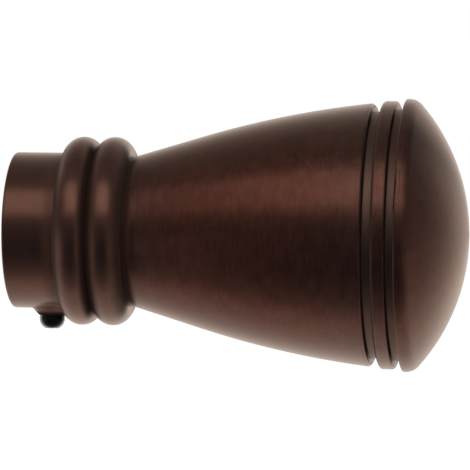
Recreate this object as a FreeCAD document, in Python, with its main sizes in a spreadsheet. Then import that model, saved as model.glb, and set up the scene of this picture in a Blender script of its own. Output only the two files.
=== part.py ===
import FreeCAD, Part
import math
import os
import Sketcher

# A turned finial that slips over the end of a curtain pole and is held there by one set screw.
# The pole's axis lies along X and the domed end points to +X. The origin is the centre of the
# socket's floor, where the end of the pole seats. The set screw stands below, along Z.

# Driving dimensions in millimetres. Every "from mouth" length runs along the pole's axis from the
# open end of the socket towards the dome.
SIZES = {
    "socket_diameter": 26.0,
    "socket_depth": 20.0,
    "socket_lead_in": 0.4,
    "collar_wall": 1.8,
    "mouth_edge_radius": 0.4,
    "bead_diameter": 35.75,
    "bead_round": 3.4,
    "first_bead_from_mouth": 13.05,
    "bead_spacing": 5.95,
    "neck_diameter": 28.5,
    "neck_from_mouth": 23.05,
    "cone_end_diameter": 36.4,
    "cone_end_from_mouth": 36.1,
    "body_end_diameter": 49.6,
    "first_groove_width": 1.75,
    "first_groove_depth": 1.6,
    "land_diameter": 50.4,
    "land_width": 2.63,
    "second_groove_width": 1.67,
    "second_groove_depth": 1.6,
    "groove_edge_radius": 0.6,
    "lip_diameter": 51.3,
    "lip_width": 0.46,
    "lip_edge_radius": 0.25,
    "dome_edge_radius": 3.0,
    "dome_radius": 37.6,
    "overall_length": 86.35,
    "screw_from_mouth": 7.2,
    "pad_diameter": 7.4,
    "pad_height": 1.3,
    "pad_edge_radius": 1.2,
    "screw_diameter": 4.8,
    "screw_thread_clearance": 0.05,
    "screw_length": 5.72,
    "screw_stand_out": 2.72,
    "screw_end_round": 2.0,
    "screw_point_chamfer": 0.6,
    "hex_across_flats": 2.4,
    "hex_depth": 2.2,
}

# Sizes that follow from the driving ones. The collar keeps its wall round the socket, and the flared
# body takes up what the grooves, the lip and the dome leave of the overall length.
FOLLOWING = {
    "collar_diameter": "socket_diameter + 2 * collar_wall",
    "grooved_length": "first_groove_width + land_width + second_groove_width",
    "dome_edge_height": "lip_diameter / 2 - dome_edge_radius",
    "dome_length": "dome_radius - sqrt((dome_radius - dome_edge_radius) ^ 2 - dome_edge_height ^ 2)",
    "body_end_from_mouth": "overall_length - dome_length - lip_width - grooved_length",
}

FULL_TURN = 360.0
HEX_SIDES = 6
SAME_PLACE = 1e-4
# The least angle, in radians, at which the belly still bends away from the cone.
LEAST_BEND = 0.006
ROOT = (-1, 1)
AXIS_ALONG = -1

doc = FreeCAD.newDocument("finial")


def fill_sheet():
    """Writes every size into an aliased cell of one spreadsheet and returns their values."""
    sheet = doc.addObject("Spreadsheet::Sheet", "Sizes")
    cells = {name: str(value) for name, value in SIZES.items()}
    cells.update({name: "=" + formula for name, formula in FOLLOWING.items()})
    for row, (name, content) in enumerate(cells.items(), start=1):
        sheet.set("A%d" % row, name)
        sheet.set("B%d" % row, content)
        sheet.setAlias("B%d" % row, name)
    doc.recompute()
    return {name: float(sheet.get(name)) for name in cells}


size = fill_sheet()


def plane_of(body, role):
    """Finds one of the body's own origin planes."""
    return next(feature for feature in body.Origin.OriginFeatures if feature.Role == role)


def new_sketch(body, name, role):
    """Starts a sketch on one of the body's own origin planes."""
    sketch = body.newObject("Sketcher::SketchObject", name)
    sketch.AttachmentSupport = [(plane_of(body, role), "")]
    sketch.MapMode = "FlatFace"
    return sketch


def add_line(sketch, start, end):
    """Adds a straight stretch. Its start is point 1 and its end is point 2."""
    return sketch.addGeometry(Part.LineSegment(FreeCAD.Vector(*start, 0), FreeCAD.Vector(*end, 0)))


def add_arc(sketch, centre, radius, from_point, to_point):
    """Adds an arc that runs anticlockwise. Its start is point 1, its end point 2, its centre point 3."""
    circle = Part.Circle(FreeCAD.Vector(*centre, 0), FreeCAD.Vector(0, 0, 1), radius)
    start = math.atan2(from_point[1] - centre[1], from_point[0] - centre[0])
    end = math.atan2(to_point[1] - centre[1], to_point[0] - centre[0])
    return sketch.addGeometry(Part.ArcOfCircle(circle, start, end))


def relate(sketch, kind, *items):
    """Adds a constraint with no size."""
    sketch.addConstraint(Sketcher.Constraint(kind, *items))


def measure(sketch, kind, items, name, expression):
    """Adds a constraint whose size is bound to the spreadsheet."""
    start_value = float(sketch.evalExpression(expression))
    index = sketch.addConstraint(Sketcher.Constraint(kind, *items, start_value))
    sketch.renameConstraint(index, name)
    sketch.setExpression("Constraints.%s" % name, expression)


def ring_edges(shape, along, radius):
    """Names the circular edges about the pole's axis at one place and of one radius."""
    names = []
    for number, edge in enumerate(shape.Edges, start=1):
        if edge.Degenerated or not isinstance(edge.Curve, Part.Circle):
            continue
        centre = edge.Curve.Center
        on_axis = abs(centre.y) < SAME_PLACE and abs(centre.z) < SAME_PLACE
        if on_axis and abs(centre.x - along) < SAME_PLACE and abs(edge.Curve.Radius - radius) < SAME_PLACE:
            names.append("Edge%d" % number)
    return names


def turned_outline(body):
    """Draws half of the finial's outline, from the mouth to the dome, above the pole's axis."""
    mouth = -size["socket_depth"]
    collar = size["collar_diameter"] / 2
    bead_centre = size["bead_diameter"] / 2 - size["bead_round"]
    bead_one = mouth + size["first_bead_from_mouth"]
    bead_two = bead_one + size["bead_spacing"]
    neck = size["neck_diameter"] / 2
    body_end = (mouth + size["body_end_from_mouth"], size["body_end_diameter"] / 2)
    land_start = body_end[0] + size["first_groove_width"]
    land_end = land_start + size["land_width"]
    lip_start = land_end + size["second_groove_width"]
    land = size["land_diameter"] / 2
    lip = size["lip_diameter"] / 2
    # A groove's depth is measured down from the lower of its two shoulders.
    floor_one = min(body_end[1], land) - size["first_groove_depth"]
    floor_two = min(land, lip) - size["second_groove_depth"]
    apex = mouth + size["overall_length"]
    round_bead = size["bead_round"]

    # Starting places of the points where round and straight stretches meet.
    bead_foot = (bead_one - math.sqrt(round_bead ** 2 - (collar - bead_centre) ** 2), collar)
    half_spacing = size["bead_spacing"] / 2
    crevice = (bead_one + half_spacing, bead_centre + math.sqrt(round_bead ** 2 - half_spacing ** 2))
    bead_heel = (bead_two + math.sqrt(round_bead ** 2 - (neck - bead_centre) ** 2), neck)
    neck_end = (mouth + size["neck_from_mouth"], neck)
    cone_end = (mouth + size["cone_end_from_mouth"], size["cone_end_diameter"] / 2)
    cone_run = cone_end[0] - neck_end[0]
    cone_rise = cone_end[1] - neck_end[1]
    belly_run = body_end[0] - cone_end[0]
    belly_rise = body_end[1] - cone_end[1]
    belly_lean = belly_run * cone_rise - belly_rise * cone_run
    # The belly bulges outwards while the cone is steeper than the way on to the body's end.
    bulges = belly_lean > 0
    # In line with the cone, the belly is straight.
    bend = abs(belly_lean) / math.hypot(belly_run, belly_rise) / math.hypot(cone_run, cone_rise)
    curved = bend > LEAST_BEND
    dome_centre = (apex - size["dome_radius"], 0.0)
    edge_height = size["dome_edge_height"]
    inner_reach = size["dome_radius"] - size["dome_edge_radius"]
    edge_centre = (dome_centre[0] + math.sqrt(inner_reach ** 2 - edge_height ** 2), edge_height)
    lip_end = (edge_centre[0], lip)
    stretch = size["dome_radius"] / inner_reach
    dome_start = (dome_centre[0] + (edge_centre[0] - dome_centre[0]) * stretch, edge_height * stretch)

    sketch = new_sketch(body, "TurnedOutline", "XZ_Plane")
    face = add_line(sketch, (mouth, 0), (mouth, collar))
    wall = add_line(sketch, (mouth, collar), bead_foot)
    first = add_arc(sketch, (bead_one, bead_centre), round_bead, crevice, bead_foot)
    second = add_arc(sketch, (bead_two, bead_centre), round_bead, bead_heel, crevice)
    quirk = add_line(sketch, bead_heel, neck_end)
    cone = add_line(sketch, neck_end, cone_end)
    belly_left, belly_right = (2, 1) if curved and bulges else (1, 2)
    if curved:
        belly_share = (belly_run ** 2 + belly_rise ** 2) / (2 * belly_lean)
        belly_centre = (cone_end[0] + belly_share * cone_rise, cone_end[1] - belly_share * cone_run)
        belly_radius = abs(belly_share) * math.hypot(cone_run, cone_rise)
        belly_ends = (body_end, cone_end) if bulges else (cone_end, body_end)
        belly = add_arc(sketch, belly_centre, belly_radius, *belly_ends)
    else:
        belly = add_line(sketch, cone_end, body_end)
    side_one = add_line(sketch, body_end, (body_end[0], floor_one))
    groove_one = add_line(sketch, (body_end[0], floor_one), (land_start, floor_one))
    side_two = add_line(sketch, (land_start, floor_one), (land_start, land))
    band = add_line(sketch, (land_start, land), (land_end, land))
    side_three = add_line(sketch, (land_end, land), (land_end, floor_two))
    groove_two = add_line(sketch, (land_end, floor_two), (lip_start, floor_two))
    side_four = add_line(sketch, (lip_start, floor_two), (lip_start, lip))
    rim = add_line(sketch, (lip_start, lip), lip_end)
    edge = add_arc(sketch, edge_centre, size["dome_edge_radius"], dome_start, lip_end)
    dome = add_arc(sketch, dome_centre, size["dome_radius"], (apex, 0), dome_start)
    spine = add_line(sketch, (apex, 0), (mouth, 0))

    # The stretches meet end to end. An arc runs anticlockwise, so its left end is point 2.
    relate(sketch, "Coincident", face, 2, wall, 1)
    relate(sketch, "Coincident", wall, 2, first, 2)
    relate(sketch, "Coincident", first, 1, second, 2)
    relate(sketch, "Coincident", second, 1, quirk, 1)
    relate(sketch, "Coincident", quirk, 2, cone, 1)
    relate(sketch, "Tangent" if curved else "Coincident", cone, 2, belly, belly_left)
    relate(sketch, "Coincident", belly, belly_right, side_one, 1)
    straight = [side_one, groove_one, side_two, band, side_three, groove_two, side_four, rim]
    for before, after in zip(straight, straight[1:]):
        relate(sketch, "Coincident", before, 2, after, 1)
    relate(sketch, "Tangent", rim, 2, edge, 2)
    relate(sketch, "Tangent", edge, 1, dome, 2)
    relate(sketch, "Coincident", dome, 1, spine, 1)
    relate(sketch, "Coincident", spine, 2, face, 1)
    for upright in (face, side_one, side_two, side_three, side_four):
        relate(sketch, "Vertical", upright)
    for level in (wall, quirk, groove_one, band, groove_two, rim):
        relate(sketch, "Horizontal", level)
    relate(sketch, "PointOnObject", face, 1, AXIS_ALONG)
    relate(sketch, "PointOnObject", dome, 1, AXIS_ALONG)
    relate(sketch, "PointOnObject", dome, 3, AXIS_ALONG)
    relate(sketch, "Equal", first, second)
    relate(sketch, "Horizontal", first, 3, second, 3)

    def from_mouth(point, name):
        measure(sketch, "DistanceX", (face, 1, *point), name, "Sizes.%s" % name)

    def across(point, name):
        measure(sketch, "DistanceY", (*ROOT, *point), name, "Sizes.%s / 2" % name)

    measure(sketch, "DistanceX", (face, 1, *ROOT), "socket_depth", "Sizes.socket_depth")
    across((face, 2), "collar_diameter")
    from_mouth((first, 3), "first_bead_from_mouth")
    bead_height = "Sizes.bead_diameter / 2 - Sizes.bead_round"
    measure(sketch, "DistanceY", (*ROOT, first, 3), "bead_diameter", bead_height)
    measure(sketch, "Radius", (first,), "bead_round", "Sizes.bead_round")
    measure(sketch, "DistanceX", (first, 3, second, 3), "bead_spacing", "Sizes.bead_spacing")
    across((quirk, 1), "neck_diameter")
    from_mouth((cone, 1), "neck_from_mouth")
    across((cone, 2), "cone_end_diameter")
    from_mouth((cone, 2), "cone_end_from_mouth")
    across((side_one, 1), "body_end_diameter")
    from_mouth((side_one, 1), "body_end_from_mouth")
    for line, name in ((groove_one, "first_groove_width"), (band, "land_width"),
                       (groove_two, "second_groove_width")):
        measure(sketch, "DistanceX", (line, 1, line, 2), name, "Sizes.%s" % name)
    first_floor = "min(Sizes.body_end_diameter; Sizes.land_diameter) / 2 - Sizes.first_groove_depth"
    measure(sketch, "DistanceY", (*ROOT, groove_one, 1), "first_groove_depth", first_floor)
    second_floor = "min(Sizes.land_diameter; Sizes.lip_diameter) / 2 - Sizes.second_groove_depth"
    measure(sketch, "DistanceY", (*ROOT, groove_two, 1), "second_groove_depth", second_floor)
    across((band, 1), "land_diameter")
    across((rim, 1), "lip_diameter")
    measure(sketch, "Radius", (edge,), "dome_edge_radius", "Sizes.dome_edge_radius")
    measure(sketch, "Radius", (dome,), "dome_radius", "Sizes.dome_radius")
    from_mouth((dome, 1), "overall_length")
    return sketch


def pad_outline(body):
    """Draws half of the screw pad beside the screw's axis, from the pole's axis down to its flat."""
    half = size["pad_diameter"] / 2
    flat = -(size["collar_diameter"] / 2 + size["pad_height"])
    round_edge = size["pad_edge_radius"]
    sketch = new_sketch(body, "PadOutline", "XZ_Plane")
    sketch.setExpression("AttachmentOffset.Base.x", "Sizes.screw_from_mouth - Sizes.socket_depth")
    top = add_line(sketch, (0, 0), (half, 0))
    side = add_line(sketch, (half, 0), (half, flat + round_edge))
    edge = add_arc(sketch, (half - round_edge, flat + round_edge), round_edge,
                   (half - round_edge, flat), (half, flat + round_edge))
    seat = add_line(sketch, (half - round_edge, flat), (0, flat))
    spine = add_line(sketch, (0, flat), (0, 0))
    relate(sketch, "Coincident", top, 1, *ROOT)
    relate(sketch, "Coincident", top, 2, side, 1)
    relate(sketch, "Tangent", side, 2, edge, 2)
    relate(sketch, "Tangent", edge, 1, seat, 1)
    relate(sketch, "Coincident", seat, 2, spine, 1)
    relate(sketch, "Coincident", spine, 2, top, 1)
    relate(sketch, "Horizontal", top)
    relate(sketch, "Vertical", side)
    relate(sketch, "Horizontal", seat)
    relate(sketch, "Vertical", spine)
    measure(sketch, "DistanceX", (top, 1, top, 2), "pad_diameter", "Sizes.pad_diameter / 2")
    pad_reach = "Sizes.collar_diameter / 2 + Sizes.pad_height"
    measure(sketch, "DistanceY", (spine, 1, spine, 2), "pad_reach", pad_reach)
    measure(sketch, "Radius", (edge,), "pad_edge_radius", "Sizes.pad_edge_radius")
    return sketch


def round_hole(body, name, role, diameter, along=None):
    """Draws a circle on one of the body's planes, centred on the origin or along X from it."""
    sketch = new_sketch(body, name, role)
    if along:
        sketch.setExpression("AttachmentOffset.Base.x", along)
    start_radius = float(sketch.evalExpression(diameter)) / 2
    centre = FreeCAD.Vector(0, 0, 0)
    circle = sketch.addGeometry(Part.Circle(centre, FreeCAD.Vector(0, 0, 1), start_radius))
    relate(sketch, "Coincident", circle, 3, *ROOT)
    measure(sketch, "Diameter", (circle,), "hole_diameter", diameter)
    return sketch


def turn(body, name, sketch, axis):
    """Turns a sketch once round one of its own axes and adds the result to the body."""
    feature = body.newObject("PartDesign::Revolution", name)
    feature.Profile = sketch
    feature.ReferenceAxis = (sketch, [axis])
    feature.Angle = FULL_TURN
    doc.recompute()
    return feature


def cut(body, name, sketch, length=None, reverse=False):
    """Cuts a sketch into the body, to a bound depth or right through, and checks that it cut."""
    before = body.Shape.Volume
    feature = body.newObject("PartDesign::Pocket", name)
    feature.Profile = sketch
    feature.Reversed = reverse
    if length:
        feature.Type = "Length"
        feature.setExpression("Length", length)
    else:
        feature.Type = "ThroughAll"
    doc.recompute()
    if body.Shape.Volume >= before:
        raise RuntimeError("%s cut nothing" % name)
    return feature


def dress(body, kind, name, base, edges, size_name, expression):
    """Rounds or chamfers named edges of the body's last feature."""
    if not edges:
        raise RuntimeError("%s found no edge" % name)
    feature = body.newObject(kind, name)
    feature.Base = (base, edges)
    feature.setExpression(size_name, expression)
    doc.recompute()
    return feature


def make_finial_body():
    """The turned body with its screw pad, pole socket, tapped hole and broken edges."""
    body = doc.addObject("PartDesign::Body", "FinialBody")
    body.Label = "finial_body"
    turn(body, "TurnedBlank", turned_outline(body), "H_Axis")
    turn(body, "ScrewPad", pad_outline(body), "V_Axis")
    socket = round_hole(body, "SocketCircle", "YZ_Plane", "Sizes.socket_diameter")
    cut(body, "PoleSocket", socket, "Sizes.socket_depth")
    tapped = round_hole(body, "TappedCircle", "XY_Plane",
                        "Sizes.screw_diameter + 2 * Sizes.screw_thread_clearance",
                        "Sizes.screw_from_mouth - Sizes.socket_depth")
    last = cut(body, "TappedHole", tapped)

    mouth = -size["socket_depth"]
    inner = ring_edges(last.Shape, mouth, size["socket_diameter"] / 2)
    last = dress(body, "PartDesign::Chamfer", "SocketLeadIn", last, inner, "Size", "Sizes.socket_lead_in")
    outer = ring_edges(last.Shape, mouth, size["collar_diameter"] / 2)
    last = dress(body, "PartDesign::Fillet", "MouthEdge", last, outer, "Radius", "Sizes.mouth_edge_radius")

    body_end = mouth + size["body_end_from_mouth"]
    land_start = body_end + size["first_groove_width"]
    land_end = land_start + size["land_width"]
    lip_start = land_end + size["second_groove_width"]
    corners = ring_edges(last.Shape, body_end, size["body_end_diameter"] / 2)
    corners += ring_edges(last.Shape, land_start, size["land_diameter"] / 2)
    corners += ring_edges(last.Shape, land_end, size["land_diameter"] / 2)
    last = dress(body, "PartDesign::Fillet", "GrooveEdges", last, corners,
                 "Radius", "Sizes.groove_edge_radius")
    lip = ring_edges(last.Shape, lip_start, size["lip_diameter"] / 2)
    dress(body, "PartDesign::Fillet", "LipEdge", last, lip, "Radius", "Sizes.lip_edge_radius")
    return body


def screw_outline(body):
    """Draws half of the set screw beside its axis, from its rounded drive end up to its point."""
    half = size["screw_diameter"] / 2
    length = size["screw_length"]
    round_end = size["screw_end_round"]
    chamfer = size["screw_point_chamfer"]
    sketch = new_sketch(body, "ScrewOutline", "XZ_Plane")
    drive = add_line(sketch, (0, 0), (half - round_end, 0))
    edge = add_arc(sketch, (half - round_end, round_end), round_end,
                   (half - round_end, 0), (half, round_end))
    shank = add_line(sketch, (half, round_end), (half, length - chamfer))
    taper = add_line(sketch, (half, length - chamfer), (half - chamfer, length))
    point = add_line(sketch, (half - chamfer, length), (0, length))
    spine = add_line(sketch, (0, length), (0, 0))
    relate(sketch, "Coincident", drive, 1, *ROOT)
    relate(sketch, "Tangent", drive, 2, edge, 1)
    relate(sketch, "Tangent", edge, 2, shank, 1)
    for before, after in ((shank, taper), (taper, point), (point, spine)):
        relate(sketch, "Coincident", before, 2, after, 1)
    relate(sketch, "Coincident", spine, 2, drive, 1)
    relate(sketch, "Horizontal", drive)
    relate(sketch, "Vertical", shank)
    relate(sketch, "Horizontal", point)
    relate(sketch, "Vertical", spine)
    measure(sketch, "DistanceX", (*ROOT, shank, 1), "screw_diameter", "Sizes.screw_diameter / 2")
    measure(sketch, "DistanceY", (*ROOT, point, 1), "screw_length", "Sizes.screw_length")
    measure(sketch, "Radius", (edge,), "screw_end_round", "Sizes.screw_end_round")
    measure(sketch, "DistanceX", (taper, 2, taper, 1), "chamfer_across", "Sizes.screw_point_chamfer")
    measure(sketch, "DistanceY", (taper, 1, taper, 2), "chamfer_along", "Sizes.screw_point_chamfer")
    return sketch


def hex_outline(body):
    """Draws the regular hexagon of the screw's drive recess round the screw's axis."""
    corner = size["hex_across_flats"] / 2 / math.cos(math.pi / HEX_SIDES)
    sketch = new_sketch(body, "HexOutline", "XY_Plane")
    turns = [2 * math.pi * side / HEX_SIDES for side in range(HEX_SIDES + 1)]
    corners = [(corner * math.cos(turn), corner * math.sin(turn)) for turn in turns]
    sides = [add_line(sketch, start, end) for start, end in zip(corners, corners[1:])]
    circle = sketch.addGeometry(Part.Circle(FreeCAD.Vector(0, 0, 0), FreeCAD.Vector(0, 0, 1), corner))
    sketch.setConstruction(circle, True)
    relate(sketch, "Coincident", circle, 3, *ROOT)
    for before, after in zip(sides, sides[1:] + sides[:1]):
        relate(sketch, "Coincident", before, 2, after, 1)
    for side in sides:
        relate(sketch, "PointOnObject", side, 1, circle)
    for side in sides[1:]:
        relate(sketch, "Equal", sides[0], side)
    relate(sketch, "PointOnObject", sides[0], 1, AXIS_ALONG)
    across_corners = "Sizes.hex_across_flats / cos(180 deg / %d)" % HEX_SIDES
    measure(sketch, "Diameter", (circle,), "across_corners", across_corners)
    return sketch


def make_set_screw():
    """The headless screw, built along its own axis from its drive end, then set in the tapped hole."""
    body = doc.addObject("PartDesign::Body", "SetScrew")
    body.Label = "set_screw"
    turn(body, "ScrewBlank", screw_outline(body), "V_Axis")
    cut(body, "HexRecess", hex_outline(body), "Sizes.hex_depth", reverse=True)
    body.setExpression("Placement.Base.x", "Sizes.screw_from_mouth - Sizes.socket_depth")
    drive_end = "-(Sizes.collar_diameter / 2 + Sizes.pad_height + Sizes.screw_stand_out)"
    body.setExpression("Placement.Base.z", drive_end)
    return body


subparts = [make_finial_body(), make_set_screw()]
doc.recompute()

for item in doc.Objects:
    if "Invalid" in item.State or "Error" in item.State:
        raise RuntimeError("%s did not recompute" % item.Name)
for subpart in subparts:
    if subpart.Shape.isNull() or not subpart.Shape.isValid() or len(subpart.Shape.Solids) != 1:
        raise RuntimeError("%s is not one sound solid" % subpart.Label)

os.makedirs("parts", exist_ok=True)
for subpart in subparts:
    subpart.Shape.exportStep("parts/%s.step" % subpart.Label)
    box = subpart.Shape.optimalBoundingBox()
    print(subpart.Label, "volume %.1f mm3" % subpart.Shape.Volume,
          "X %.2f to %.2f, Z %.2f to %.2f mm" % (box.XMin, box.XMax, box.ZMin, box.ZMax))
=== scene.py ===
# %% [markdown]
# This lesson dresses a curtain pole finial in Blender. The finial is a turned metal knob: a collar with
# a socket for the pole, two beads, a flared body, two grooves and a low dome. A small black set screw
# below the collar pinches the pole. The CAD frame holds the real sizes and the screw's travel. This
# script adds the smooth skins, the brushed bronze, the light and the camera.

# %% Load the frame
import math

import bpy
import numpy as np
from mathutils import Matrix, Vector


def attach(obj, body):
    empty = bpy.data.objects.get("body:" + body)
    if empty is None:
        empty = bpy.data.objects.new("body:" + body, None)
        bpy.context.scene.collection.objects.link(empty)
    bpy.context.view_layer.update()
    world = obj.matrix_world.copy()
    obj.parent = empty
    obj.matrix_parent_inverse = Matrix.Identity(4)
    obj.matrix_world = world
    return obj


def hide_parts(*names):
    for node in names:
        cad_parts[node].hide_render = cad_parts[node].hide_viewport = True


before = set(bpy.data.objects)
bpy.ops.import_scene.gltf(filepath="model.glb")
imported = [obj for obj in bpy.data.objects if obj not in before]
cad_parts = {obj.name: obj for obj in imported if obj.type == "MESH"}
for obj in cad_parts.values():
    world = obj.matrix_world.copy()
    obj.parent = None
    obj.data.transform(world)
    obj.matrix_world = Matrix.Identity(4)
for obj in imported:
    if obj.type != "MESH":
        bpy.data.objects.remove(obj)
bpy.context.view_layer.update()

# %% [markdown]
# A lathe makes the real finial, so its shape is one outline turned about the pole's axis. The sizes
# below are the ones a turner would read off the drawing, in millimetres. Lengths along the axis run
# from the floor of the socket, where the pole's end seats, towards the dome.

# %% The drawing's sizes
MM = 0.001
SOCKET_RADIUS = 13.0
SOCKET_DEPTH = 20.0
LEAD_IN = 0.4
COLLAR_WALL = 1.8
COLLAR_RADIUS = SOCKET_RADIUS + COLLAR_WALL
MOUTH_ROUND = 0.4
BEAD_RADIUS = 17.875
BEAD_ROUND = 3.4
BEAD_ONE = -6.95
BEAD_TWO = -1.0
NECK_RADIUS = 14.25
NECK_END = 3.05
CONE_END = 16.1
CONE_END_RADIUS = 18.2
BODY_END_RADIUS = 24.8
FIRST_GROOVE_WIDTH = 1.75
SECOND_GROOVE_WIDTH = 1.67
GROOVE_DEPTH = 1.6
LAND_WIDTH = 2.63
LAND_RADIUS = 25.2
GROOVE_ROUND = 0.6
LAND_END_ROUND = 0.4
LIP_RADIUS = 25.65
LIP_WIDTH = 0.46
LIP_ROUND = 0.25
DOME_EDGE_ROUND = 3.0
DOME_ROUND = 37.6
OVERALL_LENGTH = 86.35

apex = OVERALL_LENGTH - SOCKET_DEPTH
dome_centre = apex - DOME_ROUND
edge_height = LIP_RADIUS - DOME_EDGE_ROUND
edge_centre = dome_centre + math.sqrt((DOME_ROUND - DOME_EDGE_ROUND) ** 2 - edge_height ** 2)
lip_start = edge_centre - LIP_WIDTH
land_end = lip_start - SECOND_GROOVE_WIDTH
land_start = land_end - LAND_WIDTH
body_end = land_start - FIRST_GROOVE_WIDTH
print("body ends at %.2f mm, lip starts at %.2f mm, apex at %.2f mm" % (body_end, lip_start, apex))

# %% [markdown]
# Small tools draw any turned outline: a straight stretch, an arc, and a round that eases a sharp corner
# the way a file or a form tool does. Each returns points as rows of (along, radius). A Bezier curve could
# draw them too, but a turner's rounds are parts of circles, and an arc is exact.

# %% Tools for an outline
TOUCHING = 1e-6


def straight(start, end, steps):
    """Points on the line from start to end: start + t * (end - start), t from 0 to 1."""
    share = np.linspace(0.0, 1.0, steps + 1)[:, None]
    return np.array(start) + share * (np.array(end) - np.array(start))


def arc(centre, radius, start, end, steps):
    """Points on a circle: centre + radius * (cos a, sin a), with a going evenly from start to end."""
    angle = np.linspace(start, end, steps + 1)[:, None]
    return np.array(centre) + radius * np.hstack([np.cos(angle), np.sin(angle)])


def eased(before, corner, after, radius, steps):
    """An arc that touches both sides of a corner. Its centre lies on the corner's bisector, at radius /
    sin(half the corner's angle), and it turns from one touching point to the other."""
    one = (np.array(before) - corner) / np.linalg.norm(np.array(before) - corner)
    two = (np.array(after) - corner) / np.linalg.norm(np.array(after) - corner)
    half = math.acos(float(np.clip(one @ two, -1.0, 1.0))) / 2
    middle = (one + two) / np.linalg.norm(one + two)
    centre = corner + middle * radius / math.sin(half)
    spokes = [corner + side * radius / math.tan(half) - centre for side in (one, two)]
    start, end = [math.atan2(spoke[1], spoke[0]) for spoke in spokes]
    end = start + (end - start + math.pi) % (2 * math.pi) - math.pi
    return arc(centre, radius, start, end, steps)


def joined(*stretches):
    """One outline from stretches drawn in order, without the points where two of them meet."""
    points = np.vstack(stretches)
    apart = np.linalg.norm(np.diff(points, axis=0), axis=1) > TOUCHING
    return points[np.hstack([True, apart])]


square_corner = [np.array(point) for point in ((0.0, 0.0), (1.0, 0.0), (1.0, 1.0))]
print("a square corner eased in 2 steps:", eased(*square_corner, 0.5, 2).round(3).tolist())

# %% [markdown]
# Some places on the outline follow from others. The two beads are arcs of one circle size, so the places
# where they meet the collar, each other and the neck come from their heights. The flared body is an arc
# that leaves the cone without a kink and ends at the first groove, and only one circle does both. Points
# picked by eye could trace the same curve, but they would not follow a changed size.

# %% The beads and the flared body
bead_height = BEAD_RADIUS - BEAD_ROUND
foot_angle = math.pi - math.asin((COLLAR_RADIUS - bead_height) / BEAD_ROUND)
heel_angle = math.asin((NECK_RADIUS - bead_height) / BEAD_ROUND)
crevice_angle = math.acos((BEAD_TWO - BEAD_ONE) / 2 / BEAD_ROUND)
foot = BEAD_ONE + BEAD_ROUND * math.cos(foot_angle)
crevice = (BEAD_ONE + BEAD_TWO) / 2
heel = BEAD_TWO + BEAD_ROUND * math.cos(heel_angle)

cone_run, cone_rise = CONE_END - NECK_END, CONE_END_RADIUS - NECK_RADIUS
belly_run, belly_rise = body_end - CONE_END, BODY_END_RADIUS - CONE_END_RADIUS
belly_share = (belly_run ** 2 + belly_rise ** 2) / (2 * (belly_run * cone_rise - belly_rise * cone_run))
belly_centre = np.array([CONE_END + belly_share * cone_rise, CONE_END_RADIUS - belly_share * cone_run])
belly_round = belly_share * math.hypot(cone_run, cone_rise)
belly_start = math.atan2(CONE_END_RADIUS - belly_centre[1], CONE_END - belly_centre[0])
belly_end = math.atan2(BODY_END_RADIUS - belly_centre[1], body_end - belly_centre[0])
belly = arc(belly_centre, belly_round, belly_start, belly_end + GROOVE_ROUND / belly_round, 60)
print("beads: foot at %.2f mm, crevice at %.2f mm, heel at %.2f mm" % (foot, crevice, heel))
print("the flared body's arc has a radius of %.1f mm" % belly_round)

# %% [markdown]
# The outline starts on the axis at the socket's floor, runs out along the socket's wall, turns over the
# mouth and follows the outside to the top of the dome. The edges of the mouth, the grooves and the lip are
# eased, because a real edge is never quite sharp and its round catches the light.

# %% The finial's outline
mouth = -SOCKET_DEPTH
floor_one = BODY_END_RADIUS - GROOVE_DEPTH
floor_two = LAND_RADIUS - GROOVE_DEPTH
outer_mouth = np.array([mouth, COLLAR_RADIUS])
body_corner = np.array([body_end, BODY_END_RADIUS])
land_left = np.array([land_start, LAND_RADIUS])
land_right = np.array([land_end, LAND_RADIUS])
lip_corner = np.array([lip_start, LIP_RADIUS])
dome_start = math.atan2(edge_height, edge_centre - dome_centre)

outline = joined(
    straight((0.0, 0.0), (0.0, SOCKET_RADIUS), 8),
    straight((0.0, SOCKET_RADIUS), (mouth + LEAD_IN, SOCKET_RADIUS), 24),
    straight((mouth + LEAD_IN, SOCKET_RADIUS), (mouth, SOCKET_RADIUS + LEAD_IN), 2),
    eased((mouth, SOCKET_RADIUS), outer_mouth, (foot, COLLAR_RADIUS), MOUTH_ROUND, 6),
    straight((mouth + MOUTH_ROUND, COLLAR_RADIUS), (foot, COLLAR_RADIUS), 46),
    arc((BEAD_ONE, bead_height), BEAD_ROUND, foot_angle, crevice_angle, 36),
    arc((BEAD_TWO, bead_height), BEAD_ROUND, math.pi - crevice_angle, heel_angle, 40),
    straight((heel, NECK_RADIUS), (NECK_END, NECK_RADIUS), 2),
    straight((NECK_END, NECK_RADIUS), (CONE_END, CONE_END_RADIUS), 20),
    belly,
    eased(belly[-1], body_corner, (body_end, floor_one), GROOVE_ROUND, 6),
    straight((body_end, BODY_END_RADIUS - GROOVE_ROUND), (body_end, floor_one), 4),
    straight((body_end, floor_one), (land_start, floor_one), 5),
    straight((land_start, floor_one), (land_start, LAND_RADIUS - GROOVE_ROUND), 4),
    eased((land_start, floor_one), land_left, land_right, GROOVE_ROUND, 6),
    straight((land_start + GROOVE_ROUND, LAND_RADIUS), (land_end - LAND_END_ROUND, LAND_RADIUS), 5),
    eased(land_left, land_right, (land_end, floor_two), LAND_END_ROUND, 6),
    straight((land_end, LAND_RADIUS - LAND_END_ROUND), (land_end, floor_two), 4),
    straight((land_end, floor_two), (lip_start, floor_two), 5),
    straight((lip_start, floor_two), (lip_start, LIP_RADIUS - LIP_ROUND), 4),
    eased((lip_start, floor_two), lip_corner, (edge_centre, LIP_RADIUS), LIP_ROUND, 5),
    straight((lip_start + LIP_ROUND, LIP_RADIUS), (edge_centre, LIP_RADIUS), 2),
    arc((edge_centre, edge_height), DOME_EDGE_ROUND, math.pi / 2, dome_start, 16),
    arc((dome_centre, 0.0), DOME_ROUND, dome_start, 0.0, 40),
)
print("the outline has", len(outline), "points")

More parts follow.
